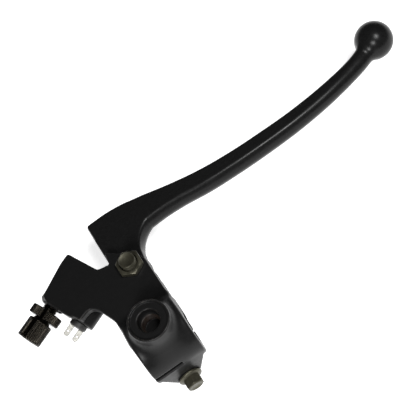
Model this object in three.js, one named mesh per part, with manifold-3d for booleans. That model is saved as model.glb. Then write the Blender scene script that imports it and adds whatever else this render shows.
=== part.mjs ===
// Motorcycle clutch lever with its handlebar perch, cable adjuster and clutch switch.
// Millimetres. Origin: the handlebar's axis at the middle of the clamp.
// +X runs along the handlebar to the lever's ball end, +Y points ahead of the bar, +Z is up.
import * as THREE from "three";
import { mergeVertices } from "three/addons/utils/BufferGeometryUtils.js";
import Module from "manifold-3d";

const wasm = await Module();
wasm.setup();

// ---- driving dimensions ----
const GAP = 0.3; // running gap between separate pieces
const clamp = { bore: 11.2, outer: 17, halfWidth: 13.5, slit: 1.2 }; // for a 22.2 mm bar
const pivot = { x: 6, y: 35, shank: 4, bushOuter: 5.7, eye: 8.2 };
const topPlate = { low: 7.6, high: 12 };
const lowPlate = { low: -9.7, high: -5.2 };
const leverBody = { low: -4, high: 7, left: -3, front: 70.4 };
const cableHeight = 1.5; // the cable, its adjuster and the switch share this height
const cableAngle = THREE.MathUtils.degToRad(24);
const cableLine = 57.6; // distance of the cable's line from the origin
const switchLine = 39.7; // distance of the switch's line from the origin
const armEnd = 16.3; // end face of the arm, measured along the cable
const switchFace = 14.9; // end face of the switch's boss, measured along the cable
const mirror = { top: 25, radius: 10, hole: 4.5, depth: 12 };
const pinch = { height: -15.8, face: 16.9, front: 14, shank: 3, hole: 3.3 };
const ball = { x: 171.9, y: 69.3, radius: 10 };
const FINE = 48; // sides of the large round shapes
const MEDIUM = 24;

// ---- finishes ----
const finish = (color, roughness, metalness) =>
  new THREE.MeshStandardMaterial({ color, roughness, metalness });
const castPaint = finish(0x141414, 0.4, 0.1);
const leverPaint = finish(0x161616, 0.35, 0.1);
const olivePlate = finish(0x4d4a3c, 0.45, 0.8);
const blackPlate = finish(0x2b2925, 0.45, 0.8);
const bronze = finish(0x8c6b3f, 0.5, 0.9);
const springSteel = finish(0x8a8d90, 0.35, 0.9);
const moulding = finish(0x1b1b1a, 0.5, 0);
const tinned = finish(0xb8b8b4, 0.35, 0.9);

// ---- solids ----
function solid(geometry) {
  const plain = geometry.clone();
  plain.deleteAttribute("normal");
  plain.deleteAttribute("uv");
  const merged = mergeVertices(plain, 1e-4);
  const index = merged.index.array;
  const kept = [];
  for (let i = 0; i < index.length; i += 3) {
    const [a, b, c] = [index[i], index[i + 1], index[i + 2]];
    if (a !== b && b !== c && c !== a) kept.push(a, b, c);
  }
  const vertProperties = new Float32Array(merged.attributes.position.array);
  const triVerts = new Uint32Array(kept);
  return new wasm.Manifold(new wasm.Mesh({ numProp: 3, vertProperties, triVerts }));
}

function toGeometry(shape) {
  const mesh = shape.getMesh();
  const geometry = new THREE.BufferGeometry();
  geometry.setAttribute("position", new THREE.BufferAttribute(mesh.vertProperties, 3));
  geometry.setIndex(new THREE.BufferAttribute(mesh.triVerts, 1));
  geometry.computeVertexNormals();
  return geometry;
}

const join = (first, ...others) => others.reduce((sum, next) => sum.add(next), first);
const cut = (first, ...others) => others.reduce((rest, next) => rest.subtract(next), first);

// A flat outline with rounded corners: each corner is [x, y] or [x, y, radius].
function outline(corners) {
  const shape = new THREE.Shape();
  const count = corners.length;
  corners.forEach(([x, y, radius = 0], i) => {
    const here = new THREE.Vector2(x, y);
    const before = new THREE.Vector2(...corners[(i + count - 1) % count].slice(0, 2));
    const after = new THREE.Vector2(...corners[(i + 1) % count].slice(0, 2));
    const start = before.sub(here).setLength(radius).add(here);
    const end = after.sub(here).setLength(radius).add(here);
    if (i === 0) shape.moveTo(start.x, start.y);
    else shape.lineTo(start.x, start.y);
    if (radius > 0) shape.quadraticCurveTo(here.x, here.y, end.x, end.y);
  });
  shape.closePath();
  return shape;
}

function slab(corners, low, high) {
  const geometry = new THREE.ExtrudeGeometry(outline(corners), {
    depth: high - low,
    bevelEnabled: false,
    curveSegments: 4,
  });
  return geometry.translate(0, 0, low);
}

function block(low, high) {
  const size = high.map((value, i) => value - low[i]);
  const middle = high.map((value, i) => (value + low[i]) / 2);
  return new THREE.BoxGeometry(...size).translate(...middle);
}

// Turned shapes: a profile of [along, radius] points, spun round the named axis.
function turned(profile, sides = MEDIUM) {
  const first = [profile[0][0], 0];
  const last = [profile[profile.length - 1][0], 0];
  const points = [first, ...profile, last].map(([along, radius]) => new THREE.Vector2(radius, along));
  return new THREE.LatheGeometry(points, sides);
}
const alongX = (geometry) => geometry.rotateZ(-Math.PI / 2);
const alongZ = (geometry) => geometry.rotateX(Math.PI / 2);
const alongMinusY = (geometry) => geometry.rotateX(Math.PI);
const hexHeight = (flats, low, high) =>
  new THREE.CylinderGeometry(flats / Math.sqrt(3), flats / Math.sqrt(3), high - low, 6)
    .translate(0, (low + high) / 2, 0);

// A point on the arm from its distance along the cable (outwards) and its distance ahead.
const onArm = (along, ahead) => [
  -along * Math.cos(cableAngle) - ahead * Math.sin(cableAngle),
  -along * Math.sin(cableAngle) + ahead * Math.cos(cableAngle),
];

// The frame of a piece on the arm: local +X points out of the arm along the cable.
function armGroup(along, ahead) {
  const group = new THREE.Group();
  const [x, y] = onArm(along, ahead);
  group.position.set(x, y, cableHeight);
  group.rotation.z = Math.PI + cableAngle;
  group.updateMatrix();
  return group;
}
const adjuster = armGroup(armEnd, cableLine);
const clutchSwitch = armGroup(switchFace, switchLine);
const placedIn = (group, geometry) => geometry.applyMatrix4(group.matrix);

// ---- perch: the one-piece casting ----
function perchOutlines() {
  const earAndHorn = [
    [13.5, 34.5, 2],
    [11.8, 38, 1.5],
    [-1.7, 48.9, 1],
    [-2.4, 42, 1.5],
    [-8.6, 43.4, 1],
    [...onArm(-9.2, 61.9), 1.5],
    [...onArm(-3, 61.9), 2],
    [...onArm(14.6, 59.4), 1.2],
  ];
  const top = [
    [13.5, 0],
    ...earAndHorn,
    [...onArm(armEnd, 55.4), 1],
    [...onArm(armEnd - 0.2, 40.4), 1],
    [...onArm(switchFace, 39), 1],
    [...onArm(switchFace, 35), 1],
    [...onArm(8.2, 34.4), 2],
    [...onArm(6.2, 30.2), 2],
    [...onArm(6.6, 21), 1],
    [-13.5, 12],
    [-13.5, 0],
  ];
  const low = [
    [13.5, 0],
    ...earAndHorn,
    [...onArm(armEnd - 1.4, 55), 1],
    [...onArm(armEnd - 1.4, 51), 1],
    [...onArm(0, 50), 3],
    [-13.5, 30, 2],
    [-13.5, 0],
  ];
  const middle = [
    [13.5, 0],
    [13.5, 26.5],
    [-3.8, 26.5],
    [-3.8, 44.4],
    [-8.6, 44.6],
    onArm(0, 50.5),
    onArm(armEnd - 1.8, 50.5),
    onArm(armEnd - 1.8, 41),
    onArm(armEnd - 2.2, 38),
    onArm(0, 36),
    [-13.5, 27],
    [-13.5, 0],
  ];
  return { top, low, middle };
}

function makePerch() {
  const { top, low, middle } = perchOutlines();
  const { bore, outer, halfWidth, slit } = clamp;
  const lugOutline = [
    [13.2, 1],
    [6.2, 17.6, 3],
    [3.2, 22.2, 2],
    [-3.2, 22.2, 2],
    [-6.2, 17.6, 3],
    [-13.2, 1],
  ];
  const lugs = slab(lugOutline, -pinch.face, pinch.front).rotateX(-Math.PI / 2);
  const mirrorProfile = [
    [8, 13.3], [14.5, 13.3], [16.5, 12], [18.5, 10.8], [21, 10.1],
    [24.2, mirror.radius], [24.8, mirror.radius - 0.4], [mirror.top, mirror.radius - 1],
  ];
  const armBoss = [[-10.3, 7], [-1.5, 7], [0, 4.9]];
  const switchBoss = [[-17, 6.8], [-0.8, 6.8], [0, 6.2]];
  const body = join(
    solid(alongX(turned([[-halfWidth, outer - 0.6], [-halfWidth + 0.6, outer],
      [halfWidth - 0.6, outer], [halfWidth, outer - 0.6]], FINE))),
    solid(slab(top, topPlate.low, topPlate.high)),
    solid(slab(low, lowPlate.low, lowPlate.high)),
    solid(slab(middle, lowPlate.high - 1, topPlate.low + 1)),
    solid(lugs),
    solid(alongZ(turned(mirrorProfile, FINE))),
    solid(placedIn(adjuster, alongX(turned(armBoss)))),
    solid(placedIn(clutchSwitch, alongX(turned(switchBoss)))),
  );
  const drill = (profile, sides) => solid(alongZ(turned(profile, sides)));
  const pivotHole = drill([[-30, pivot.shank + GAP], [30, pivot.shank + GAP]]);
  const eyeRelief = drill([[lowPlate.high, pivot.eye + 1], [topPlate.low, pivot.eye + 1]], FINE);
  const { top: rim, hole, depth } = mirror;
  return cut(
    body,
    solid(alongX(turned([[-20, bore], [20, bore]], FINE))),
    solid(block([-20, -slit, -30], [20, slit, -8])),
    solid(alongMinusY(turned([[-20, pinch.hole], [20, pinch.hole]])).translate(0, 0, pinch.height)),
    pivotHole.translate([pivot.x, pivot.y, 0]),
    eyeRelief.translate([pivot.x, pivot.y, 0]),
    drill([[rim - depth, hole], [rim - 5.2, hole], [rim - 4.2, hole + 0.9], [rim + 0.1, hole + 0.9]]),
    solid(placedIn(adjuster, alongX(turned([[-11, 4.1], [1, 4.1]])))),
    solid(placedIn(adjuster, block([-11, -12, -1.3], [1, 0, 1.3]))),
    solid(placedIn(clutchSwitch, alongX(turned([[-14.4, 4.35], [1, 4.35]])))),
    solid(placedIn(clutchSwitch, alongX(turned([[-31, 1.8], [-14, 1.8]], 16)))),
  );
}

// ---- lever: root plate, tapering blade and ball end ----
function makeLever() {
  const { low, high, left, front } = leverBody;
  const blade = [
    [24, 60.8, 8.4], [43, 58.3, 6.3], [60, 55.9, 5.7], [77, 54.9, 5.3], [94, 54.8, 5.1],
    [113, 55.5, 4.9], [133, 57.7, 4.6], [152, 61.4, 4.5], [163, 65, 4.7], [ball.x, ball.y, 4.8],
  ];
  const middleLine = new THREE.CatmullRomCurve3(blade.map(([x, y, half]) => new THREE.Vector3(x, y, half)));
  const steps = 26;
  const frontEdge = [];
  const rearEdge = [];
  for (let i = 0; i <= steps; i += 1) {
    const at = middleLine.getPoint(i / steps);
    const ahead = middleLine.getPoint(Math.min(1, (i + 0.5) / steps));
    const behind = middleLine.getPoint(Math.max(0, (i - 0.5) / steps));
    const way = new THREE.Vector2(ahead.x - behind.x, ahead.y - behind.y).normalize();
    frontEdge.push([at.x - way.y * at.z, at.y + way.x * at.z]);
    rearEdge.unshift([at.x + way.y * at.z, at.y - way.x * at.z]);
  }
  const eye = [];
  for (let i = 0; i <= 10; i += 1) {
    const angle = Math.PI * (0.1 - 1.1 * (i / 10));
    eye.push([pivot.x + pivot.eye * Math.cos(angle), pivot.y + pivot.eye * Math.sin(angle)]);
  }
  const root = [
    [left, front, 1],
    [12, 71.2],
    [18.5, 70.2],
    ...frontEdge.slice(1),
    ...rearEdge,
    [21.5, 50, 1],
    [17.2, 46.5, 1],
    [14.7, 42],
    ...eye,
    [left, 38],
  ];
  const plan = slab(root.reverse(), low, high);
  const tip = new THREE.SphereGeometry(ball.radius, MEDIUM, 16).translate(ball.x, ball.y, cableHeight);
  const nipple = { x: 2, y: 63.9 };
  return cut(
    join(solid(plan), solid(tip)),
    solid(alongZ(turned([[low - 1, pivot.bushOuter + GAP], [high + 1, pivot.bushOuter + GAP]]))
      .translate(pivot.x, pivot.y, 0)),
    solid(alongZ(turned([[low - 1, 4.2], [5, 4.2]])).translate(nipple.x, nipple.y, 0)),
    solid(block([left - 2, nipple.y - 1.6, low - 1], [nipple.x, nipple.y + 1.6, cableHeight + 1.6])),
  );
}

// ---- pivot ----
const pivotStack = new THREE.Group();
pivotStack.position.set(pivot.x, pivot.y, 0);

function makePivotBolt() {
  const seat = lowPlate.low - GAP;
  const end = topPlate.high + 6.9;
  const shank = [[seat - 0.1, pivot.shank], [end - 0.8, pivot.shank], [end, pivot.shank - 0.7]];
  const crown = [[seat - 5.3, 5.3], [seat - 4.6, 6.7], [seat, 8]];
  const head = solid(alongZ(hexHeight(12, seat - 5.3, seat))).intersect(solid(alongZ(turned(crown))));
  return join(solid(alongZ(turned(shank))), head);
}

function makePivotNut() {
  const seat = topPlate.high + GAP;
  const crown = [[seat, 5.8], [seat + 0.5, 6.7], [seat + 2.5, 6.7], [seat + 3, 5.8]];
  const nut = solid(alongZ(hexHeight(12, seat, seat + 3))).intersect(solid(alongZ(turned(crown))));
  return cut(nut, solid(alongZ(turned([[seat - 1, pivot.shank + GAP], [seat + 6, pivot.shank + GAP]]))));
}

function ring(low, high, inner, outer) {
  const outside = solid(alongZ(turned([[low, outer], [high, outer]])));
  return cut(outside, solid(alongZ(turned([[low - 1, inner], [high + 1, inner]]))));
}

// ---- clamp bolt ----
function makePinchBolt() {
  const seat = pinch.face + GAP;
  const shank = [[-12.5, 2.5], [-12, pinch.shank], [seat + 0.1, pinch.shank]];
  const flange = [[seat, 6], [seat + 0.7, 6], [seat + 1.5, 4.6]];
  const crown = [[seat + 1, 7], [seat + 5.6, 4.8], [seat + 6.2, 3.7]];
  const head = solid(alongMinusY(hexHeight(8, seat + 1, seat + 6.2)))
    .intersect(solid(alongMinusY(turned(crown))));
  return join(solid(alongMinusY(turned(shank))), solid(alongMinusY(turned(flange))), head);
}

// ---- cable adjuster, in its own group: +X points out of the arm ----
const cableSlot = { half: 1.1, tilt: THREE.MathUtils.degToRad(5) };
const wheelSlot = { half: 1.2, tilt: THREE.MathUtils.degToRad(-21) };

const radialSlot = ({ half, tilt }, from, to) =>
  solid(block([from, -half, 0], [to, half, 12]).rotateX(tilt));

function makeAdjusterScrew() {
  const profile = [
    [-10, 3.2], [-9.5, 3.75], [7.4, 3.75], [8.4, 4.6], [8.4, 5.7], [8.9, 6.15],
    [18.8, 6.15], [19.1, 5.8],
  ];
  return cut(
    solid(alongX(turned(profile))),
    solid(alongX(turned([[-11, 1.6], [11.5, 1.6]], 16))),
    solid(alongX(turned([[11.4, 3.7], [20, 3.7]]))),
    radialSlot(cableSlot, -11, 20),
  );
}

function makeAdjusterWheel() {
  const profile = [[2.4, 7.7], [2.8, 8.1], [6.6, 8.1], [7, 7.7]];
  return cut(
    solid(alongX(turned(profile, FINE))),
    solid(alongX(turned([[2, 3.75 + GAP], [7.2, 3.75 + GAP]]))),
    radialSlot(wheelSlot, 2, 8),
  );
}

// ---- clutch switch, in its own group: +X points out of the arm ----
const terminal = { spacing: 2.5, half: 1.3, thick: 0.4, tip: 9 };
const bladeTilt = THREE.MathUtils.degToRad(-25);

function makeSwitchBase() {
  const profile = [[-6, 4.05], [GAP, 4.05], [GAP, 4.4], [2.5, 4.4], [2.9, 4]];
  const halfWidth = terminal.half + 0.2;
  const halfThick = terminal.thick + 0.25;
  const slots = [-1, 1].map((side) => {
    const y = side * terminal.spacing;
    const slot = block([-7, y - halfWidth, -halfThick], [4, y + halfWidth, halfThick]);
    return solid(slot.rotateX(bladeTilt));
  });
  const recess = solid(alongX(turned([[-7, 3.3], [-3, 3.3]])));
  return cut(solid(alongX(turned(profile))), recess, ...slots);
}

function makeTerminal(side) {
  const y = side * terminal.spacing;
  const { half, thick, tip } = terminal;
  const blade = [
    [-8.2, -half], [tip - 0.8, -half], [tip, -0.7], [tip, 0.7], [tip - 0.8, half],
    [-4.6, half], [-5, 0.3], [-8.2, 0.3],
  ].map(([x, across]) => [x, side * across]);
  const plate = slab(blade, -thick, thick);
  const hole = alongZ(turned([[-2, 0.5], [2, 0.5]], 12)).translate(tip - 2.6, 0, 0);
  const shape = cut(solid(plate), solid(hole));
  return toGeometry(shape).translate(0, y, 0).rotateX(bladeTilt);
}

function makeSwitchCase() {
  return cut(
    solid(alongX(turned([[-14, 3.7], [-13.6, 4.05], [-6.3, 4.05]]))),
    solid(alongX(turned([[-12.8, 3.2], [-6, 3.2]]))),
    solid(alongX(turned([[-15, 1.9], [-12, 1.9]], 16))),
  );
}

function makePlunger() {
  return solid(alongX(turned([
    [-28.7, 0.6], [-28.2, 1.35], [-10.6, 1.5], [-10.6, 2.6], [-9.6, 2.6], [-9.6, 0.4], [-7.6, 0.4],
  ], 16)));
}

function makeContactBridge() {
  return cut(
    solid(alongX(turned([[-9.2, 2.6], [-8.7, 2.6]], 16))),
    solid(alongX(turned([[-10, 0.7], [-8, 0.7]], 16))),
  );
}

function makePlungerSpring() {
  const spring = { from: -8.2, to: -3.4, radius: 0.8, wire: 0.18, turns: 6, steps: 10 };
  const count = spring.turns * spring.steps;
  const centres = Array.from({ length: count + 1 }, (_, i) => {
    const angle = (i / spring.steps) * 2 * Math.PI;
    const along = spring.from + (spring.to - spring.from) * (i / count);
    return new THREE.Vector3(along, spring.radius * Math.cos(angle), spring.radius * Math.sin(angle));
  });
  const coil = new THREE.CatmullRomCurve3(centres);
  const wire = new THREE.Shape();
  wire.absarc(0, 0, spring.wire, 0, 2 * Math.PI);
  return new THREE.ExtrudeGeometry(wire, { steps: count, extrudePath: coil, curveSegments: 3 });
}

// ---- assembly ----
function piece(name, shape, material) {
  const mesh = new THREE.Mesh(shape.isBufferGeometry ? shape : toGeometry(shape), material);
  mesh.name = name;
  return mesh;
}

adjuster.add(
  piece("adjuster_screw", makeAdjusterScrew(), blackPlate),
  piece("adjuster_lock_wheel", makeAdjusterWheel(), blackPlate),
);

clutchSwitch.add(
  piece("switch_base", makeSwitchBase(), moulding),
  piece("switch_case", makeSwitchCase(), moulding),
  piece("terminal_front", makeTerminal(-1), tinned),
  piece("terminal_rear", makeTerminal(1), tinned),
  piece("switch_plunger", makePlunger(), moulding),
  piece("contact_bridge", makeContactBridge(), bronze),
  piece("plunger_spring", solid(makePlungerSpring()), springSteel),
);

pivotStack.add(
  piece("pivot_bolt", makePivotBolt(), olivePlate),
  piece("pivot_nut", makePivotNut(), olivePlate),
  piece("pivot_bush", ring(-3.8, 6.8, pivot.shank + GAP, pivot.bushOuter), bronze),
  piece("lever_washer", ring(-4.9, -4.3, pivot.shank + GAP, 7.4), springSteel),
);

const pinchBolt = piece("pinch_bolt", makePinchBolt(), olivePlate);
pinchBolt.position.set(0, 0, pinch.height);

const clutchLever = new THREE.Group();
clutchLever.add(
  piece("perch", makePerch(), castPaint),
  piece("lever", makeLever(), leverPaint),
  pivotStack,
  pinchBolt,
  adjuster,
  clutchSwitch,
);

export default clutchLever;
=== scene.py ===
# %% [markdown]
# # A motorcycle clutch lever
# The real part is a cast aluminium perch that clamps round the handlebar, a forged lever on a
# pivot bolt, a knurled cable adjuster and a small plunger switch with two spade terminals.
# The frame that this file loads holds the measured solids and their joints.  Here each of them
# gets its finished shape and its paint, plating or plastic.

# %% Load the frame
import math

import bpy
import numpy as np
from mathutils import Matrix, Vector


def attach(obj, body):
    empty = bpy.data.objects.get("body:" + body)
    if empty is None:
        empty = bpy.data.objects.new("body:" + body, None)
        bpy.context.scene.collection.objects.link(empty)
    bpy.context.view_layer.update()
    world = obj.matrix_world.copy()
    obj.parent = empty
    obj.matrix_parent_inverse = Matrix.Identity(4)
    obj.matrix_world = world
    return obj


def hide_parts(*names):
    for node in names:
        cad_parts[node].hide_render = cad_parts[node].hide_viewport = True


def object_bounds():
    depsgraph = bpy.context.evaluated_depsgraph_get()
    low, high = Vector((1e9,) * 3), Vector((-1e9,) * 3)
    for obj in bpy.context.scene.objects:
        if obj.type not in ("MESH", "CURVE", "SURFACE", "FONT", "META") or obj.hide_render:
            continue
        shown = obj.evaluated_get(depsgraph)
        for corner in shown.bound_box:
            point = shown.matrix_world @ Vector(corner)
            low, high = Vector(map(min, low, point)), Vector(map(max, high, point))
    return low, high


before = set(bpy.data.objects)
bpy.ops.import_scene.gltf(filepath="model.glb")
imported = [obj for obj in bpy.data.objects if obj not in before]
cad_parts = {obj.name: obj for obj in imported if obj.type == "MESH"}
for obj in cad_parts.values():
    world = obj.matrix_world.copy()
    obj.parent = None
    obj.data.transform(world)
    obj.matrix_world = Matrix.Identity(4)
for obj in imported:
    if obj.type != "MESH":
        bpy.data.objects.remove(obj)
cad_box = [list(corner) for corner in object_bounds()]
print("the solids' box", cad_box)

# %% [markdown]
# ## Camera
# The camera stands well behind the bar and above it, so that the mirror boss is seen from
# above and the lever runs up and away.  A long lens from 45 cm keeps the lever's two edges
# almost parallel.

# %% Camera
MM = 0.001
CAMERA_PLACE_MM = (27.3, -182.8, 410.3)
CAMERA_LENS_MM = 85.5
camera_right = Vector((0.8258, -0.5102, -0.2402)).normalized()
camera_forward = Vector((0.0518, 0.4927, -0.8686)).normalized()
camera_up = camera_right.cross(camera_forward).normalized()
camera_right = camera_forward.cross(camera_up)
camera = bpy.data.objects.new("camera", bpy.data.cameras.new("camera"))
bpy.context.scene.collection.objects.link(camera)
camera.matrix_world = Matrix.Translation(Vector(CAMERA_PLACE_MM) * MM) @ Matrix(
    (camera_right, camera_up, -camera_forward)).transposed().to_4x4()
camera.data.lens = CAMERA_LENS_MM
camera.data.sensor_width = 36
camera.data.clip_start = 0.01
bpy.context.scene.camera = camera
print("camera", tuple(round(v, 3) for v in camera.matrix_world.translation))

# %% [markdown]
# ## Helpers for meshes
# A casting is a set of simple bodies that melt into one another with fillets.  Booleans and
# bevels would make that fragile, so the castings are drawn as a distance field: a number at
# each point of space that is negative inside the metal.  Fields join, cut and fillet with
# plain arithmetic, and the surface where the field is zero becomes the mesh.  Turned pieces
# don't need that: a profile carried round an axis is enough for them.

# %% Mesh from points and faces
def make_piece(name, points_mm, faces, sharp=None):
    """A mesh object at the origin, its points given in millimetres."""
    mesh = bpy.data.meshes.new(name)
    mesh.from_pydata((points_mm * MM).tolist(), [], faces)
    mesh.validate()
    mesh.polygons.foreach_set("use_smooth", [True] * len(mesh.polygons))
    if sharp:
        mesh.set_sharp_from_angle(angle=math.radians(sharp))
    piece = bpy.data.objects.new(name, mesh)
    bpy.context.scene.collection.objects.link(piece)
    print(name, len(mesh.polygons), "faces")
    return piece


# %% Outlines
TINY = 1e-9


def outline(corners):
    """A closed outline from corners (x, y, round): each corner is replaced by the curve
    (1-t)^2 start + 2t(1-t) corner + t^2 end, which starts and ends at the distance round."""
    corners = np.array([tuple(c) + (0.0,) * (3 - len(c)) for c in corners], float)
    here, size = corners[:, :2], corners[:, 2:]
    before = np.roll(here, 1, axis=0) - here
    after = np.roll(here, -1, axis=0) - here
    reach_before = np.maximum(np.linalg.norm(before, axis=1, keepdims=True), TINY)
    reach_after = np.maximum(np.linalg.norm(after, axis=1, keepdims=True), TINY)
    start = here + before / reach_before * size
    end = here + after / reach_after * size
    t = np.linspace(0, 1, 6)[None, :, None]
    curve = (1 - t) ** 2 * start[:, None] + 2 * t * (1 - t) * here[:, None] + t ** 2 * end[:, None]
    line = curve.reshape(-1, 2)
    apart = np.linalg.norm(line - np.roll(line, 1, axis=0), axis=1) > 1e-6
    return line[apart]


def smooth_line(points, steps=8):
    """A Catmull-Rom curve through the points: on each stretch from b to c it is
    b + t(c-a)/2 + t^2(2a-5b+4c-d)/2 + t^3(3b-a-3c+d)/2."""
    points = np.array(points, float)
    padded = np.vstack([2 * points[0] - points[1], points, 2 * points[-1] - points[-2]])
    a, b, c, d = (padded[i:len(padded) - 3 + i, None] for i in range(4))
    t = (np.arange(steps) / steps)[None, :, None]
    curve = b + t * (c - a) / 2 + t ** 2 * (2 * a - 5 * b + 4 * c - d) / 2
    curve = curve + t ** 3 * (3 * b - a - 3 * c + d) / 2
    return np.vstack([curve.reshape(-1, points.shape[1]), points[-1:]])


# %% Distance fields
def inside_line(line, x, y):
    """Signed distance to a closed outline: the least distance to its sides, made negative
    where a ray from the point towards +x crosses an odd number of them."""
    nearest = np.full(np.broadcast(x, y).shape, np.inf)
    inside = np.zeros(nearest.shape, bool)
    for (ax, ay), (bx, by) in zip(line, np.roll(line, -1, axis=0)):
        dx, dy = bx - ax, by - ay
        t = np.clip(((x - ax) * dx + (y - ay) * dy) / (dx * dx + dy * dy), 0, 1)
        nearest = np.minimum(nearest, (x - ax - t * dx) ** 2 + (y - ay - t * dy) ** 2)
        crossed = (ay > y) != (by > y)
        inside ^= crossed & (x - ax < (y - ay) * dx / (dy if dy else 1))
    return np.where(inside, -1, 1) * np.sqrt(nearest)


def plate(flat, height, low, high, edge=0.6):
    """A flat outline made thick: with a = flat + edge and b = |height - middle| - half + edge,
    the field is min(max(a, b), 0) + length(max(a, 0), max(b, 0)) - edge."""
    a = flat + edge
    b = np.abs(height - (low + high) / 2) - (high - low) / 2 + edge
    return np.minimum(np.maximum(a, b), 0) + np.hypot(np.maximum(a, 0), np.maximum(b, 0)) - edge


def turned(profile, along, radius):
    """A body spun round an axis, from corners (along, radius, round) of half its section.  A
    corner on the axis meets its own mirror image, so outline must allow a side of no length."""
    half = [tuple(c) + (0.0,) * (3 - len(c)) for c in profile]
    return inside_line(outline(half + [(a, -r, s) for a, r, s in half[::-1]]), along, radius)


def melt(a, b, size):
    """Join two fields with a fillet: min(a, b) - size h^2 / 4, where h = max(0, 1-|a-b|/size)."""
    h = np.maximum(0, 1 - np.abs(a - b) / size)
    return np.minimum(a, b) - size * h * h / 4


def carve(a, tool, size=0.5):
    """Cut the tool out of a and break the new edge by about a quarter of the size."""
    return -melt(-a, tool, size)


# %% Surface of a field
def skin(values, low, step):
    """Points and quads of the surface where the grid's values are zero.  Each grid cell that
    it crosses gets one point, the mean of the places a / (a - b) where its edges change sign,
    and each grid edge that changes sign gets a quad between the four cells round it."""
    inside = values < 0
    corner = np.array([(i, j, k) for i in (0, 1) for j in (0, 1) for k in (0, 1)])
    shape = np.array(values.shape) - 1
    count = np.zeros(shape, np.int8)
    for i, j, k in corner:
        count += inside[i:i + shape[0], j:j + shape[1], k:k + shape[2]]
    cells = np.argwhere((count > 0) & (count < 8))
    at = np.stack([values[tuple((cells + c).T)] for c in corner], axis=1)
    total, crossings = np.zeros((len(cells), 3)), np.zeros((len(cells), 1))
    for a in range(8):
        for b in range(a + 1, 8):
            if np.abs(corner[a] - corner[b]).sum() == 1:
                crossed = (at[:, a] < 0) != (at[:, b] < 0)
                t = np.where(crossed, at[:, a] / np.where(crossed, at[:, a] - at[:, b], 1), 0)
                place = corner[a] + t[:, None] * (corner[b] - corner[a])
                total += place * crossed[:, None]
                crossings += crossed[:, None]
    points = low + step * (cells + total / crossings)
    number = np.zeros(shape, np.int64)
    number[tuple(cells.T)] = np.arange(len(cells))
    quads = []
    for axis in range(3):
        one = np.eye(3, dtype=int)
        first = np.take(inside, np.arange(shape[axis]), axis)
        second = np.take(inside, np.arange(1, shape[axis] + 1), axis)
        edge = np.argwhere(first != second)
        u, v = one[(axis + 1) % 3], one[(axis + 2) % 3]
        ring = np.stack([number[tuple((edge - s).T)] for s in (0 * u, u, u + v, v)], axis=1)
        outwards = first[tuple(edge.T)]
        quads.append(np.where(outwards[:, None], ring, ring[:, ::-1]))
    return points, np.vstack(quads)


def make_cast(name, field, low, high, step):
    """The mesh of a field.  Each point then moves twice by -field * slope / |slope|^2, which
    puts it on the true surface.  The attribute bend is the field's Laplacian there, in 1/mm:
    high on outer edges, low in corners, near zero on flats."""
    low, high = np.array(low, float), np.array(high, float)
    axes = [np.arange(a - step, b + 2 * step, step) for a, b in zip(low, high)]
    points, quads = skin(field(*np.meshgrid(*axes, indexing="ij", sparse=True)), low - step, step)
    reach = 0.3 * step
    for _ in range(2):
        value = field(*points.T)
        slope = np.stack([field(*(points + reach * e).T) - value for e in np.eye(3)], axis=1) / reach
        move = value[:, None] * slope / np.maximum((slope ** 2).sum(axis=1), 0.2)[:, None]
        points = points - np.clip(move, -0.6 * step, 0.6 * step)
    piece = make_piece(name, points, quads.tolist())
    size = 0.35
    around = sum(field(*(points + side * size * e).T) for e in np.eye(3) for side in (-1, 1))
    bend = (around - 6 * field(*points.T)) / size ** 2
    piece.data.attributes.new("bend", "FLOAT", "POINT").data.foreach_set("value", bend.astype(np.float32))
    return piece


# %% [markdown]
# ## Perch
# The perch is one aluminium casting under black paint: a clamp barrel, two plates with the
# lever between them, the mirror boss and two small bosses on a slanted arm.  Each body is a
# field, and melt joins them with the fillets that a casting needs to leave its mould.

# %% Sizes shared by the pieces
PIVOT = (6, 35)
ARM_ANGLE = math.radians(24)
ARM_WAY = np.array((-math.cos(ARM_ANGLE), -math.sin(ARM_ANGLE), 0))
CABLE_HEIGHT = 1.5
BORE_RADIUS = 11.2
BARREL_RADIUS = 17
PINCH_HEIGHT = -15.8
PINCH_HOLE = 3.3
BOSS_TOP = 25
BOSS_RADIUS = 10
BALL = (171.9, 69.3)
BALL_RADIUS = 10
LEVER_HALF_HEIGHT = 5.5
NIPPLE = (2, 63.9)
ADJUSTER = (16.3, 57.6)
SWITCH = (14.9, 39.7)


def on_arm(along, across):
    """A point on the slanted arm: along is out towards the adjuster, across is ahead."""
    c, s = math.cos(ARM_ANGLE), math.sin(ARM_ANGLE)
    return (-along * c - across * s, -along * s + across * c)


def arm_coordinates(x, y, z, start):
    """Distance out along the arm from start, and the two distances across it."""
    c, s = math.cos(ARM_ANGLE), math.sin(ARM_ANGLE)
    return -x * c - y * s - start[0], -x * s + y * c - start[1], z - CABLE_HEIGHT


# %% Perch outlines
ear_and_horn = [(13.5, 34.5, 2), (11.8, 38, 1.5), (-1.7, 48.9, 1), (-2.4, 42, 1.5), (-8.6, 43.4, 1),
                (*on_arm(-9.2, 61.9), 1.4), (*on_arm(-3, 61.9), 2), (*on_arm(14.6, 59.4), 1.2)]
top_plate = outline([(13.5, 0)] + ear_and_horn + [
    (*on_arm(16.3, 55.4), 1), (*on_arm(16.1, 40.4), 1), (*on_arm(14.9, 39), 1),
    (*on_arm(14.9, 35), 1), (*on_arm(8.2, 34.4), 2), (*on_arm(6.2, 30.2), 2),
    (*on_arm(6.6, 21), 1), (-13.5, 12), (-13.5, 0)])
low_plate = outline([(13.5, 0)] + ear_and_horn + [
    (*on_arm(14.9, 55), 1), (*on_arm(14.9, 51), 1), (*on_arm(0, 50), 3), (-13.5, 30, 2), (-13.5, 0)])
inner_wall = outline([
    (13.5, 0), (13.5, 26.5), (-3.8, 26.5), (-3.8, 44.4), (-8.6, 44.6), on_arm(0, 50.5),
    on_arm(14.5, 50.5), on_arm(14.5, 41), on_arm(14.1, 38), on_arm(0, 36), (-13.5, 27), (-13.5, 0)])
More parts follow.
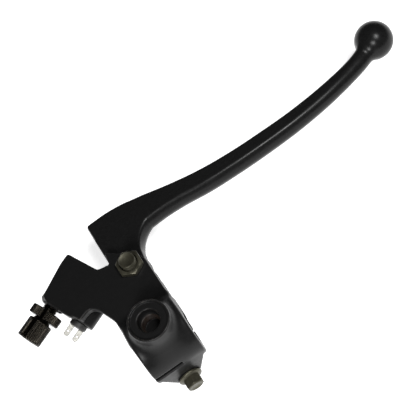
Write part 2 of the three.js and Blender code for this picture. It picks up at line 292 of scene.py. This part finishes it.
lug_outline = outline([(13.4, 0), (6.2, -17.6, 3), (3.2, -22.2, 2), (-3.2, -22.2, 2),
                       (-6.2, -17.6, 3), (-13.4, 0)])


def perch_field(x, y, z):
    """The casting: barrel, plates, lugs and bosses melted together, then the machined holes."""
    axial = np.hypot(x, y)
    barrel = turned([(-13.5, 0), (-13.5, BARREL_RADIUS, 1.2), (13.5, BARREL_RADIUS, 1.2), (13.5, 0)],
                    x, np.hypot(y, z))
    body = melt(barrel, plate(inside_line(top_plate, x, y), z, 7.6, 12, 0.7), 2.5)
    body = melt(body, plate(inside_line(low_plate, x, y), z, -9.7, -5.2, 0.7), 2.5)
    body = melt(body, plate(inside_line(inner_wall, x, y), z, -6.2, 8.6, 0.3), 1.2)
    body = np.minimum(body, plate(inside_line(lug_outline, x, z), y, -BARREL_RADIUS, 14, 0.8))
    boss = [(6, 0), (6, 12.4), (13, 11.6), (18, 10.6, 3), (BOSS_TOP, BOSS_RADIUS, 0.6), (BOSS_TOP, 0)]
    body = melt(body, turned(boss, z, axial), 5)
    out, ahead, up = arm_coordinates(x, y, z, ADJUSTER)
    body = melt(body, turned([(-10.3, 0), (-10.3, 7), (-1.6, 7, 0.5), (0, 5.3, 0.4), (0, 0)], out,
                             np.hypot(ahead, up)), 2)
    body = carve(body, np.hypot(ahead, up) - 4.1 + 100 * (out < -11))
    body = carve(body, np.maximum(np.abs(up) - 1.3, np.maximum(ahead, -11 - out)))
    out, ahead, up = arm_coordinates(x, y, z, SWITCH)
    body = melt(body, turned([(-17, 0), (-17, 6.8), (0, 6.8, 0.8), (0, 0)], out, np.hypot(ahead, up)), 1.5)
    body = carve(body, np.maximum(np.hypot(ahead, up) - 4.4, -14.4 - out))
    body = carve(body, np.maximum(np.hypot(ahead, up) - 1.8, np.maximum(-31 - out, out + 14)), 0.2)
    body = carve(body, np.hypot(y, z) - BORE_RADIUS, 0.8)
    body = carve(body, np.maximum(np.abs(y) - 1.2, z + 8), 0.8)
    body = carve(body, np.hypot(x, z - PINCH_HEIGHT) - PINCH_HOLE)
    from_pivot = np.hypot(x - PIVOT[0], y - PIVOT[1])
    body = carve(body, from_pivot - 4.3)
    body = carve(body, np.maximum(from_pivot - 9.2, np.maximum(z - 7.6, -5.2 - z)), 0.3)
    body = carve(body, np.maximum(axial - 8.9, 24 - z), 0.2)
    body = carve(body, np.maximum(axial - np.clip(z - 15, 4.75, 5.4), 13 - z), 0.3)
    return body


perch = make_cast("perch_casting", perch_field, (-41, -18, -23), (14.5, 60, 26), 0.5)
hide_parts("perch")
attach(perch, "perch")

# %% [markdown]
# ## Lever
# The lever is forged, then painted.  Seen from above it is an S that narrows to the ball.  Its
# top is flat, and its side towards the rider bulges, so that a crisp line runs along the top
# and fades near the ball.  The plan is one outline, and the bulge is added to its distance.

# %% Lever outline
spine = [(24, 60.8, 8.4), (43, 58.3, 6.3), (60, 55.9, 5.7), (77, 54.9, 5.3), (94, 54.8, 5.1),
         (113, 55.5, 4.9), (133, 57.7, 4.7), (152, 61.4, 4.5), (163, 65, 4.7), (171.9, 69.3, 4.8)]
spine_line = smooth_line(spine)
spine_way = np.gradient(spine_line[:, :2], axis=0)
spine_way /= np.linalg.norm(spine_way, axis=1, keepdims=True)
spine_side = np.stack([-spine_way[:, 1], spine_way[:, 0]], axis=1) * spine_line[:, 2:]
blade_front = spine_line[:, :2] + spine_side
blade_rear = spine_line[:, :2] - spine_side
eye_turn = np.linspace(-0.9 * math.pi, 0.1 * math.pi, 14)
eye = np.stack([PIVOT[0] + 8.2 * np.cos(eye_turn), PIVOT[1] + 8.2 * np.sin(eye_turn)], axis=1)
crook = smooth_line([(14.3, 40), (15, 43), (17.3, 46.6), (21, 49.8), (25, 51.9)], 5)
root_front = smooth_line([(0, 71), (9.5, 71.2), (18.5, 70.3), (24, 69.1)], 5)
lever_plan = np.vstack([[(-3, 69.6), (-2.1, 70.8)], root_front[:-1], blade_front[2:],
                        blade_rear[:3:-1], crook[::-1], eye[::-1], [(-3, 38)]])
print("lever outline", len(lever_plan), "points")


def lever_field(x, y, z):
    """The plan's distance plus bulge * (height / 5.5)^2 on the sides, met by the flat top and
    bottom with an edge that grows rounder towards the ball; then the ball, eye and pocket."""
    height = z - CABLE_HEIGHT
    outwards = np.clip((x - 90) / 75, 0, 1)
    middle = np.interp(x, spine_line[:, 0], spine_line[:, 1])
    bulge = np.where(y < middle, 0.4 + 2.2 * np.clip((x - 12) / 11, 0, 1), 0.7)
    side = inside_line(lever_plan, x, y) + bulge * (height / LEVER_HALF_HEIGHT) ** 2
    flat = np.abs(height) - LEVER_HALF_HEIGHT + 0.4 * outwards
    body = -melt(-side, -flat, 1.2 + 2.6 * outwards ** 1.5)
    ball = np.sqrt((x - BALL[0]) ** 2 + (y - BALL[1]) ** 2 + height ** 2) - BALL_RADIUS
    body = melt(body, ball, 2.4)
    body = carve(body, np.hypot(x - PIVOT[0], y - PIVOT[1]) - 6)
    body = carve(body, np.maximum(np.hypot(x - NIPPLE[0], y - NIPPLE[1]) - 4.2, z - 5), 0.4)
    slot = np.maximum(np.abs(y - NIPPLE[1]) - 1.6, np.maximum(x - NIPPLE[0], height - 1.6))
    return carve(body, slot, 0.4)


lever = make_cast("lever_forging", lever_field, (-4, 26, -9), (182.5, 80, 12), 0.5)
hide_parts("lever")
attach(lever, "lever")

# %% [markdown]
# ## Cable adjuster
# The adjuster is turned steel: a threaded screw with a fluted barrel, and a lock wheel with a
# fine knurl.  Both are slit so that the cable can be laid in from the side.  A slit breaks the
# turned shape, so these are fields too, with the knurl as a wave added to the distance.

# %% Adjuster screw and wheel
def slit(across, up, tilt_degrees, half):
    """A slot from the axis outwards, turned from straight up by the tilt."""
    t = math.radians(tilt_degrees)
    side = across * math.cos(t) - up * math.sin(t)
    way = across * math.sin(t) + up * math.cos(t)
    return np.maximum(np.abs(side) - half, -way)


def thread(along, angle, pitch):
    """A wave from 0 to 1 that winds once round per pitch: |2 frac(along/pitch - angle) - 1|."""
    return np.abs(2 * np.mod(along / pitch - angle / (2 * math.pi), 1) - 1)


def screw_field(x, y, z):
    """Threaded shank, neck and fluted barrel, with the wire's bore, ferrule pocket and slit."""
    out, ahead, up = arm_coordinates(x, y, z, ADJUSTER)
    radius, angle = np.hypot(ahead, up), np.arctan2(up, ahead)
    shank = turned([(-10, 0), (-10, 3.75, 0.5), (8, 3.75), (8, 0)], out, radius)
    shank = shank + 0.45 * thread(out, angle, 1.25) * (out < 7.6)
    barrel = turned([(7.2, 0), (7.2, 4, 0.2), (8.4, 4.7, 0.2), (8.4, 5.7, 0.1), (8.8, 6.15, 0.1),
                     (18.8, 6.15, 0.1), (19.1, 5.8, 0.1), (19.1, 0)], out, radius)
    flutes = 0.4 * (0.5 + 0.5 * np.cos(30 * angle)) ** 1.5 * (radius > 5)
    body = melt(shank, barrel + flutes * np.clip(3 - np.abs(out - 13.7) / 1.8, 0, 1), 0.4)
    body = carve(body, radius - 1.6, 0.2)
    body = carve(body, np.maximum(radius - 3.7, 11.4 - out), 0.3)
    return carve(body, slit(ahead, up, 5, 1.1), 0.3)


def wheel_field(x, y, z):
    """Lock wheel: a chamfered ring with a 48-tooth straight knurl and one slit."""
    out, ahead, up = arm_coordinates(x, y, z, ADJUSTER)
    radius, angle = np.hypot(ahead, up), np.arctan2(up, ahead)
    body = turned([(2.4, 0), (2.4, 7.7, 0.1), (2.8, 8.1, 0.1), (6.6, 8.1, 0.1), (7, 7.7, 0.1), (7, 0)],
                  out, radius)
    body = body + 0.36 * (0.5 + 0.5 * np.cos(48 * angle)) ** 0.7 * np.clip(radius - 6.6, 0, 1)
    body = carve(body, radius - 4.05, 0.3)
    return carve(body, slit(ahead, up, -21, 1.2), 0.3)


adjuster_middle = np.array((*on_arm(ADJUSTER[0] + 4.5, ADJUSTER[1]), CABLE_HEIGHT))
screw = make_cast("adjuster_screw_turned", screw_field, adjuster_middle - (17, 13, 7),
                  adjuster_middle + (17, 13, 7), 0.16)
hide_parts("adjuster_screw")
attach(screw, "adjuster")
wheel_middle = np.array((*on_arm(ADJUSTER[0] + 4.7, ADJUSTER[1]), CABLE_HEIGHT))
wheel = make_cast("adjuster_wheel_knurled", wheel_field, wheel_middle - (6, 9, 9),
                  wheel_middle + (6, 9, 9), 0.13)
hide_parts("adjuster_lock_wheel")
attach(wheel, "lock_wheel")

# %% [markdown]
# ## Bolts, nut, washer and bush
# These are plain turned pieces with a hexagon.  A profile carried round an axis makes them:
# each row of points is a circle whose radius may change with the angle, so a hexagon, its
# turned chamfer and a thread are all one formula.

# %% Turned pieces
def spun(name, along, radius, start, axis, side, closed=False, sharp=40):
    """Point (i, j) = start + along_i axis + radius_ij (cos a_j side + sin a_j up).  An open
    profile is closed by a fan at each end, and a closed one joins its last row to its first."""
    rows, count = radius.shape
    angle = 2 * math.pi * np.arange(count) / count
    axis, side = np.array(axis, float), np.array(side, float)
    rim = np.cos(angle)[:, None] * side + np.sin(angle)[:, None] * np.cross(axis, side)
    start = np.array(start, float)
    points = start + along[:, None, None] * axis + radius[..., None] * rim
    i, j = np.meshgrid(np.arange(rows if closed else rows - 1), np.arange(count), indexing="ij")
    a, b = i * count + j, i * count + (j + 1) % count
    c, d = ((i + 1) % rows) * count + (j + 1) % count, ((i + 1) % rows) * count + j
    faces = np.stack([a, b, c, d], axis=-1).reshape(-1, 4).tolist()
    points = points.reshape(-1, 3)
    if not closed:
        j = np.arange(count)
        last = (rows - 1) * count
        low_fan = np.stack([j * 0 + rows * count, (j + 1) % count, j], axis=-1)
        high_fan = np.stack([j * 0 + rows * count + 1, last + j, last + (j + 1) % count], axis=-1)
        points = np.vstack([points, start + along[0] * axis, start + along[-1] * axis])
        faces += low_fan.tolist() + high_fan.tolist()
    return make_piece(name, points, faces, sharp)


def spun_ring(name, low, high, inner, outer, edge, start, axis, side):
    """A turned ring: a rectangle with rounded corners carried round the axis."""
    section = outline([(low, outer, edge), (high, outer, edge), (high, inner, edge), (low, inner, edge)])
    return spun(name, section[:, 0], np.repeat(section[:, 1:], 96, axis=1), start, axis, side, True)


def hexagon(flats, count=180):
    """Radius of a hexagon at each angle: (flats / 2) / cos(angle to the nearest flat)."""
    angle = 2 * math.pi * np.arange(count) / count
    return flats / 2 / np.cos(np.mod(angle + math.pi / 6, math.pi / 3) - math.pi / 6)


def bolt_head(seat, flats, flange, height, count=180):
    """Rows (along, radius) of a flange, a hexagon whose corners are turned off by a cone of
    30 degrees, and a shallow dish in the top."""
    skirt = outline([(seat, 0), (seat, flange, 0.2), (seat + 0.9, flange, 0.3), (seat + 1.7, flange - 1.3),
                     (seat + 1.7, 0)])
    skirt = skirt[(skirt[:, 1] > 3)]
    body = np.linspace(seat + 1.8, seat + height, 34)
    cone = flats / 2 - 0.45 + (seat + height - body) / math.tan(math.radians(30))
    hexed = melt(np.minimum(cone, 99)[:, None], hexagon(flats, count)[None, :], 0.35)
    crown = np.array([(height, flats / 2 - 0.9), (height, 2.9), (height - 0.35, 2.3), (height - 0.45, 1)])
    along = np.concatenate([skirt[:, 0], body, seat + crown[:, 0]])
    radius = np.vstack([np.repeat(skirt[:, 1:], count, axis=1), hexed,
                        np.repeat(crown[:, 1:], count, axis=1)])
    return along, radius


def threaded(low, high, core, crest, pitch, count=180):
    """Rows of a thread: core + (crest - core) times a wave that winds once round per pitch."""
    along = np.arange(low, high, pitch / 10)
    angle = 2 * math.pi * np.arange(count) / count
    wave = np.clip(1.3 * thread(along[:, None], angle[None, :], pitch), 0, 1)
    fade = np.clip((along - low) / (1.5 * pitch), 0.15, 1)[:, None]
    return along, core + (crest - core) * wave * fade


# %% Pivot bolt and nut
X, Y, Z = np.eye(3)
pivot_start = (PIVOT[0], PIVOT[1], 0)


def nut_rows(low, high, flats, round_low, round_high, count=180):
    """Rows of a hexagon between two faces, its corners turned off by a cone at each end."""
    along = np.linspace(low, high, 40)
    slope = 1 / math.tan(math.radians(30))
    cone = np.minimum(round_low + (along - low) * slope, round_high + (high - along) * slope)
    return along, melt(np.minimum(cone, 99)[:, None], hexagon(flats, count)[None, :], 0.3)


head_along, head_radius = nut_rows(-15.3, -10, 12, 5.4, 9)
shank_along = np.array([-9.95, 12.2])
end_along, end_radius = threaded(12.3, 18.1, 3.6, 4.0, 1.25)
tip_along = np.array([18.15, 18.6, 18.85, 18.85, 18.7])
tip_radius = np.repeat(np.array([[4.0], [4.0], [3.75], [3.5], [3.3]]), 180, axis=1)
dish_along, dish_radius = np.array([-15.0, -15.25]), np.repeat([[1.5], [4.9]], 180, axis=1)
pivot_bolt = spun(
    "pivot_bolt_turned",
    np.concatenate([dish_along, head_along, shank_along, end_along, tip_along]),
    np.vstack([dish_radius, head_radius, np.full((2, 180), 4.0), end_radius[:, ::-1], tip_radius]),
    pivot_start, Z, X)
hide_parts("pivot_bolt")
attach(pivot_bolt, "perch")

nut_along, nut_radius = nut_rows(12.3, 15.3, 12, 5.9, 5.9)
hole_along = np.array([15.3, 14.9, 12.7, 12.3])
hole_radius = np.repeat([[4.7], [4.3], [4.3], [4.7]], 180, axis=1)
pivot_nut = spun("pivot_nut_turned", np.concatenate([nut_along, hole_along]),
                 np.vstack([nut_radius, hole_radius]), pivot_start, Z, X, True)
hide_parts("pivot_nut")
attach(pivot_nut, "perch")

bush = spun_ring("pivot_bush_turned", -3.8, 6.8, 4.3, 5.7, 0.25, pivot_start, Z, X)
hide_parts("pivot_bush")
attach(bush, "lever")
washer = spun_ring("lever_washer_stamped", -4.9, -4.3, 4.3, 7.4, 0.15, pivot_start, Z, X)
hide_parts("lever_washer")
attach(washer, "perch")

# %% Pinch bolt
head_along, head_radius = bolt_head(17.2, 8, 6, 6.2)
tail_along, tail_radius = threaded(-12.5, 2, 2.5, 3.0, 1)
pinch_along = np.concatenate([tail_along, [2.1, 17.1], head_along])
pinch_radius = np.vstack([tail_radius, np.full((2, 180), 3.0), head_radius])
pinch_bolt = spun("pinch_bolt_turned", pinch_along, pinch_radius, (0, 0, PINCH_HEIGHT), -Y, X)
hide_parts("pinch_bolt")
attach(pinch_bolt, "perch")

# %% [markdown]
# ## Mirror thread
# The boss takes the mirror's stem in a 10 mm thread.  Its grooves are finer than the
# casting's grid, so they are a thin sleeve of their own, wound by the same thread formula.

# %% Mirror thread
sleeve_along, sleeve_radius = threaded(13.2, 19.6, 4.68, 4.15, 1.25)
sleeve_along = np.concatenate([[13.2, 19.6], sleeve_along[::-1]])
sleeve_radius = np.vstack([np.full((2, 180), 4.95), sleeve_radius[::-1]])
mirror_thread = spun("mirror_thread", sleeve_along, sleeve_radius, (0, 0, 0), Z, X, True)
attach(mirror_thread, "perch")

# %% [markdown]
# ## Clutch switch
# The switch is a moulded plug pressed into its boss.  Two spade terminals stand out of it, and
# a plunger, a bridge and a spring work inside.

# %% Switch plug and terminals
TERMINAL_TILT = math.radians(-25)


def tilted(ahead, up):
    """The two distances across the arm, turned with the terminals; the first points rearwards."""
    c, s = math.cos(TERMINAL_TILT), math.sin(TERMINAL_TILT)
    return -ahead * c + up * s, ahead * s + up * c


def plug_field(x, y, z):
    """Moulded plug with a flange, a recess and two slots for the terminals."""
    out, ahead, up = arm_coordinates(x, y, z, SWITCH)
    across, thick = tilted(ahead, up)
    body = turned([(-6, 0), (-6, 4.05), (0.3, 4.05), (0.3, 4.35, 0.1), (2.6, 4.35, 0.4), (2.9, 3.6, 0.3),
                   (2.9, 0)], out, np.hypot(ahead, up))
    body = carve(body, np.maximum(np.hypot(ahead, up) - 3.3, out + 3), 0.2)
    slot = np.maximum(np.abs(np.abs(across) - 2.5) - 1.5, np.abs(thick) - 0.65)
    return carve(body, slot, 0.3)


blade_line = outline([(-8.2, -1.3), (8.2, -1.3, 0.3), (9, -0.7, 0.2), (9, 0.7, 0.2), (8.2, 1.3, 0.3),
                      (-4.6, 1.3, 0.3), (-5, 0.3), (-8.2, 0.3)])


def terminal_field(mirror):
    """A pressed blade with rounded edges, a narrow tail and a small round hole near its tip."""
    def field(x, y, z):
        out, ahead, up = arm_coordinates(x, y, z, SWITCH)
        across, thick = tilted(ahead, up)
        across = mirror * across - 2.5
        body = plate(inside_line(blade_line, out, across), thick, -0.4, 0.4, 0.12)
        return carve(body, np.hypot(out - 6.4, across) - 0.5, 0.1)
    return field


switch_middle = np.array((*on_arm(SWITCH[0] - 1.5, SWITCH[1]), CABLE_HEIGHT))
plug = make_cast("switch_plug_moulded", plug_field, switch_middle - (6.5, 6.5, 4.6),
                 switch_middle + (6.5, 6.5, 4.6), 0.14)
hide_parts("switch_base")
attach(plug, "perch")
blades_middle = np.array((*on_arm(SWITCH[0] + 0.4, SWITCH[1]), CABLE_HEIGHT))
terminals = []
for node, mirror in (("terminal_front", -1), ("terminal_rear", 1)):
    blade = make_cast(node + "_pressed", terminal_field(mirror), blades_middle - (9.6, 8, 2.6),
                      blades_middle + (9.6, 8, 2.6), 0.11)
    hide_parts(node)
    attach(blade, "perch")
    terminals.append(blade)

# %% Switch internals
switch_start = (*on_arm(*SWITCH), CABLE_HEIGHT)


def spun_solid(name, corners):
    """A turned piece on the switch's axis from corners (along, radius, round)."""
    half = [(a, r, s) for a, r, s in corners]
    line = outline(half + [(half[-1][0], -9, 0), (half[0][0], -9, 0)])
    line = line[line[:, 1] > -0.1]
    return spun(name, line[:, 0], np.repeat(line[:, 1:], 64, axis=1), switch_start, ARM_WAY, Z)


plunger = spun_solid("plunger_moulded", [
    (-28.7, 0.6, 0.1), (-28.2, 1.35, 0.2), (-10.6, 1.5, 0), (-10.6, 2.6, 0.1), (-9.6, 2.6, 0.1),
    (-9.6, 0.4, 0), (-7.6, 0.4, 0.1)])
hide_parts("switch_plunger")
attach(plunger, "plunger")
bridge = spun_ring("contact_bridge_pressed", -9.2, -8.7, 0.7, 2.6, 0.1, switch_start, ARM_WAY, Z)
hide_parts("contact_bridge")
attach(bridge, "plunger")
case_line = outline([(-14, 3.7, 0.2), (-13.6, 4.05, 0.2), (-6.3, 4.05, 0.1), (-6.3, 3.2, 0.1),
                     (-12.8, 3.2, 0.2), (-12.8, 1.9), (-14, 1.9)])
case = spun("switch_case_moulded", case_line[:, 0], np.repeat(case_line[:, 1:], 96, axis=1),
            switch_start, ARM_WAY, Z, True)
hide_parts("switch_case")
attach(case, "perch")


def coil_spring(name, low, high, radius, wire, turns):
    """A circle carried along a helix: centre(s) = low + (high - low) s, at angle 2 pi turns s."""
    s = np.linspace(0, 1, turns * 24 + 1)
    angle = 2 * math.pi * turns * s
    side, up = Z, np.cross(ARM_WAY, Z)
    spoke = np.cos(angle)[:, None] * side + np.sin(angle)[:, None] * up
    centre = np.array(switch_start) + (low + (high - low) * s)[:, None] * ARM_WAY + radius * spoke
    turn = (2 * math.pi * np.arange(10) / 10)[None, :, None]
    points = centre[:, None] + wire * (np.cos(turn) * spoke[:, None] + np.sin(turn) * ARM_WAY)
    rows, count = len(s), 10
    i, j = np.meshgrid(np.arange(rows - 1), np.arange(count), indexing="ij")
    a, b = i * count + j, i * count + (j + 1) % count
    faces = np.stack([a, a + count, b + count, b], axis=-1).reshape(-1, 4).tolist()
    faces += [list(range(count)), [(rows - 1) * count + k for k in reversed(range(count))]]
    return make_piece(name, points.reshape(-1, 3), faces, 60)


spring = coil_spring("plunger_spring_wound", -8.2, -3.4, 0.8, 0.18, 6)
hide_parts("plunger_spring")
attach(spring, "perch")

# %% [markdown]
# ## Finishes
# Every finish reads Object coordinates, which are metres here, so a pattern's scale is one
# over the size of its grain in metres.  The castings also read their attribute bend, which is
# high where the surface turns sharply outwards: paint is thinner and rubbed there, and the
# edge is painted lighter there as a highlight, on paint and on plated crests alike.

# %% Helpers for finishes
def linear(hex_colour):
    """sRGB hex to linear: c / 12.92 below 0.04045, else ((c + 0.055) / 1.055) ^ 2.4."""
    parts = [int(hex_colour[i:i + 2], 16) / 255 for i in (1, 3, 5)]
    return tuple(c / 12.92 if c < 0.04045 else ((c + 0.055) / 1.055) ** 2.4 for c in parts) + (1.0,)


def add_node(tree, kind, values=None, **settings):
    """Add a node, set its properties, and give its inputs a value or another node's output."""
    node = tree.nodes.new("ShaderNode" + kind)
    for name, value in settings.items():
        setattr(node, name, value)
    for socket, value in (values or {}).items():
        if isinstance(value, bpy.types.NodeSocket):
            tree.links.new(value, node.inputs[socket])
        else:
            node.inputs[socket].default_value = value
    return node


def new_finish(name):
    """An empty material with its shader, its output and the object's coordinates."""
    finish = bpy.data.materials.new(name)
    finish.use_nodes = True
    tree = finish.node_tree
    tree.nodes.clear()
    shader = add_node(tree, "BsdfPrincipled")
    add_node(tree, "OutputMaterial", {"Surface": shader.outputs["BSDF"]})
    place = add_node(tree, "TexCoord").outputs["Object"]
    return finish, tree, shader, place


def grain(tree, place, size_mm, detail=2.0, rough=0.5):
    """Noise whose blotches are about size_mm across."""
    return add_node(tree, "TexNoise", {"Vector": place, "Scale": 1000 / size_mm, "Detail": detail,
                                       "Roughness": rough}).outputs["Fac"]


def remap(tree, value, low, high, to_low, to_high):
    """Stretch a value from one range to another and clamp it."""
    return add_node(tree, "MapRange", {"Value": value, "From Min": low, "From Max": high,
                                       "To Min": to_low, "To Max": to_high}).outputs["Result"]


def mix_colour(tree, factor, first, second):
    """Mix two colours by a factor."""
    return add_node(tree, "Mix", {0: factor, 6: first, 7: second}, data_type="RGBA").outputs[2]


def bump(tree, height, strength, depth_mm):
    """Turn a height into a bumped normal, the depth given in millimetres."""
    return add_node(tree, "Bump", {"Height": height, "Strength": strength,
                                   "Distance": depth_mm * MM}).outputs["Normal"]


def wear_and_highlight_on_edges(tree, place, low, high):
    """0 on flats and 1 on sharp outer edges, broken up by a 2 mm noise."""
    # The mask marks rubbed paint on the edges and a painted highlight along them.
    edge = add_node(tree, "Attribute", attribute_name="bend").outputs["Fac"]
    patchy = remap(tree, grain(tree, place, 2.2, 4), 0.42, 0.62, 0, 1)
    edge = remap(tree, edge, low, high, 0, 1)
    return add_node(tree, "Math", {0: edge, 1: patchy}, operation="MULTIPLY").outputs[0]


# %% Satin black paint on cast aluminium
def black_paint(name, base, rubbed, low_rough, high_rough, peel_mm, peel_depth):
    """Stoved black paint, near black: orange peel, faint dust, rubbed edges and painted edge highlights.
    """
    finish, tree, shader, place = new_finish(name)
    dust = remap(tree, grain(tree, place, 1.5, 6, 0.6), 0.5, 0.8, 0, 1)
    colour = mix_colour(tree, dust, linear(base), linear(rubbed))
    # Edges turn lighter: rubbed paint, and also a painted highlight standing in for the bright edge lines.
    worn_and_highlight = wear_and_highlight_on_edges(tree, place, 1, 3.5)
    colour = mix_colour(tree, worn_and_highlight, colour, linear("#34322f"))
    rough = remap(tree, grain(tree, place, 3, 4), 0.3, 0.7, low_rough, high_rough)
    peel = grain(tree, place, peel_mm, 2)
    fine = grain(tree, place, peel_mm / 4, 3)
    height = add_node(tree, "Math", {0: peel, 1: 0.7, 2: fine}, operation="MULTIPLY_ADD").outputs[0]
    tree.links.new(colour, shader.inputs["Base Color"])
    tree.links.new(rough, shader.inputs["Roughness"])
    tree.links.new(bump(tree, height, 0.5, peel_depth), shader.inputs["Normal"])
    shader.inputs["IOR"].default_value = 1.5
    shader.inputs["Specular IOR Level"].default_value = 0.13
    return finish


cast_paint = black_paint("satin_black_paint_on_casting", "#131313", "#161616", 0.3, 0.38, 1.1, 0.015)
lever_paint = black_paint("semi_gloss_black_paint_on_lever", "#131313", "#171717", 0.24, 0.32, 0.9, 0.012)
# The thread's lighter brown tone is a painted reflection: it stands in for glints on the thread's flanks.
thread_paint_and_glints = black_paint("paint_in_thread_with_painted_glints", "#1d1815", "#2e241d", 0.3, 0.45, 0.8, 0.02)


# %% Plated steel
def plated_steel(name, first, second, low_rough, high_rough, wear_and_glint_colour, metallic=0.85):
    """Zinc with tinted passivation: cloudy colour, fine scratches, crests rubbed and painted with a glint.
    """
    finish, tree, shader, place = new_finish(name)
    cloud = remap(tree, grain(tree, place, 4, 5, 0.6), 0.35, 0.65, 0, 1)
    colour = mix_colour(tree, cloud, linear(first), linear(second))
    speck = remap(tree, grain(tree, place, 0.5, 3), 0.58, 0.75, 0, 0.25)
    colour = mix_colour(tree, speck, colour, linear(wear_and_glint_colour))
    # Crests turn to the lighter colour: rubbed plating, and also a painted glint on the knurl and flute
    # ridges.
    edge = add_node(tree, "Attribute", attribute_name="bend").outputs["Fac"]
    colour = mix_colour(tree, remap(tree, edge, 6, 20, 0, 1), colour, linear(wear_and_glint_colour))
    rough = remap(tree, grain(tree, place, 0.8, 4), 0.3, 0.7, low_rough, high_rough)
    tree.links.new(colour, shader.inputs["Base Color"])
    tree.links.new(rough, shader.inputs["Roughness"])
    tree.links.new(bump(tree, grain(tree, place, 0.35, 3), 0.4, 0.01), shader.inputs["Normal"])
    shader.inputs["Metallic"].default_value = metallic
    return finish


olive_zinc = plated_steel("olive_passivated_zinc", "#49473b", "#3d3b31", 0.34, 0.5, "#6d6a58", 0.7)
dark_zinc = plated_steel("dark_passivated_steel", "#26231d", "#1c1915", 0.24, 0.38, "#4c4639", 0.9)
bright_steel = plated_steel("bright_spring_steel", "#a6a8aa", "#8d8f92", 0.25, 0.4, "#c4c6c8")
bronze = plated_steel("plain_bronze", "#a97f48", "#8b6536", 0.35, 0.5, "#c09a62")
tinned_brass = plated_steel("tin_plated_brass", "#82817c", "#72716c", 0.35, 0.5, "#98968f", 0.6)


# %% Moulded nylon
def moulded_nylon(name, base, second):
    """Glass-filled nylon: dull black with a faint flow pattern and a fine matt grain."""
    finish, tree, shader, place = new_finish(name)
    flow = remap(tree, grain(tree, place, 3, 4), 0.35, 0.65, 0, 1)
    rough = remap(tree, grain(tree, place, 1, 3), 0.3, 0.7, 0.5, 0.65)
    tree.links.new(mix_colour(tree, flow, linear(base), linear(second)), shader.inputs["Base Color"])
    tree.links.new(rough, shader.inputs["Roughness"])
    tree.links.new(bump(tree, grain(tree, place, 0.25, 2), 0.5, 0.015), shader.inputs["Normal"])
    return finish


nylon = moulded_nylon("black_moulded_nylon", "#121211", "#1b1a19")

# %% Give each piece its finish
finishes = {
    cast_paint: [perch], lever_paint: [lever], thread_paint_and_glints: [mirror_thread],
    olive_zinc: [pivot_bolt, pivot_nut, pinch_bolt], dark_zinc: [screw, wheel],
    bright_steel: [washer, spring], bronze: [bush, bridge], tinned_brass: terminals,
    nylon: [plug, plunger, case],
}
for finish, pieces in finishes.items():
    for piece in pieces:
        piece.data.materials.append(finish)
    print(finish.name, len(pieces), "pieces")

# %% [markdown]
# ## Floor and light
# Black paint shows mostly what it reflects.  The room above is dark, so that flat tops stay
# deep black, and soft boxes at the sides draw the thin bright lines along the edges; the
# paint's lighter edges add a painted highlight to them.  The white floor is lit until it loses
# its shadows, and it lights the undersides.

# %% Floor
def make_floor(height, half):
    """A square sheet at the given height, in metres."""
    corners = [(-half, -half, height), (half, -half, height), (half, half, height), (-half, half, height)]
    mesh = bpy.data.meshes.new("floor")
    mesh.from_pydata(corners, [], [(0, 1, 2, 3)])
    floor = bpy.data.objects.new("floor", mesh)
    bpy.context.scene.collection.objects.link(floor)
    finish, tree, shader, place = new_finish("white_sweep")
    shader.inputs["Base Color"].default_value = (0.9, 0.9, 0.9, 1)
    shader.inputs["Roughness"].default_value = 0.9
    shader.inputs["Emission Color"].default_value = (1, 1, 1, 1)
    shader.inputs["Emission Strength"].default_value = 0.8
    floor.data.materials.append(finish)
    return floor


floor = make_floor(cad_box[0][2] - 0.0005, 3)


# %% Soft boxes
def soft_box(name, direction, distance, width, height, power):
    """A rectangular light that faces the clamp from a direction, in metres and watts."""
    light = bpy.data.lights.new(name, "AREA")
    light.shape = "RECTANGLE"
    light.size, light.size_y, light.energy = width, height, power
    lamp = bpy.data.objects.new(name, light)
    bpy.context.scene.collection.objects.link(lamp)
    way = Vector(direction).normalized()
    lamp.location = Vector((0.05, 0.04, 0)) + way * distance
    lamp.rotation_euler = way.to_track_quat("Z", "Y").to_euler()
    print(name, tuple(round(v, 2) for v in lamp.location), power, "W")


BOX_SIDE = 0.26
BOX_WATTS = 8
soft_box("box_high_right", (0.264, -0.295, 0.919), 1.0, BOX_SIDE, BOX_SIDE, BOX_WATTS)
soft_box("box_low_left", (-0.36, -0.621, 0.696), 1.0, BOX_SIDE, BOX_SIDE, BOX_WATTS)

world = bpy.data.worlds.new("studio")
world.use_nodes = True
world.node_tree.nodes["Background"].inputs["Color"].default_value = (1, 1, 1, 1)
world.node_tree.nodes["Background"].inputs["Strength"].default_value = 0.02
bpy.context.scene.world = world
bpy.context.scene.view_settings.view_transform = "Standard"
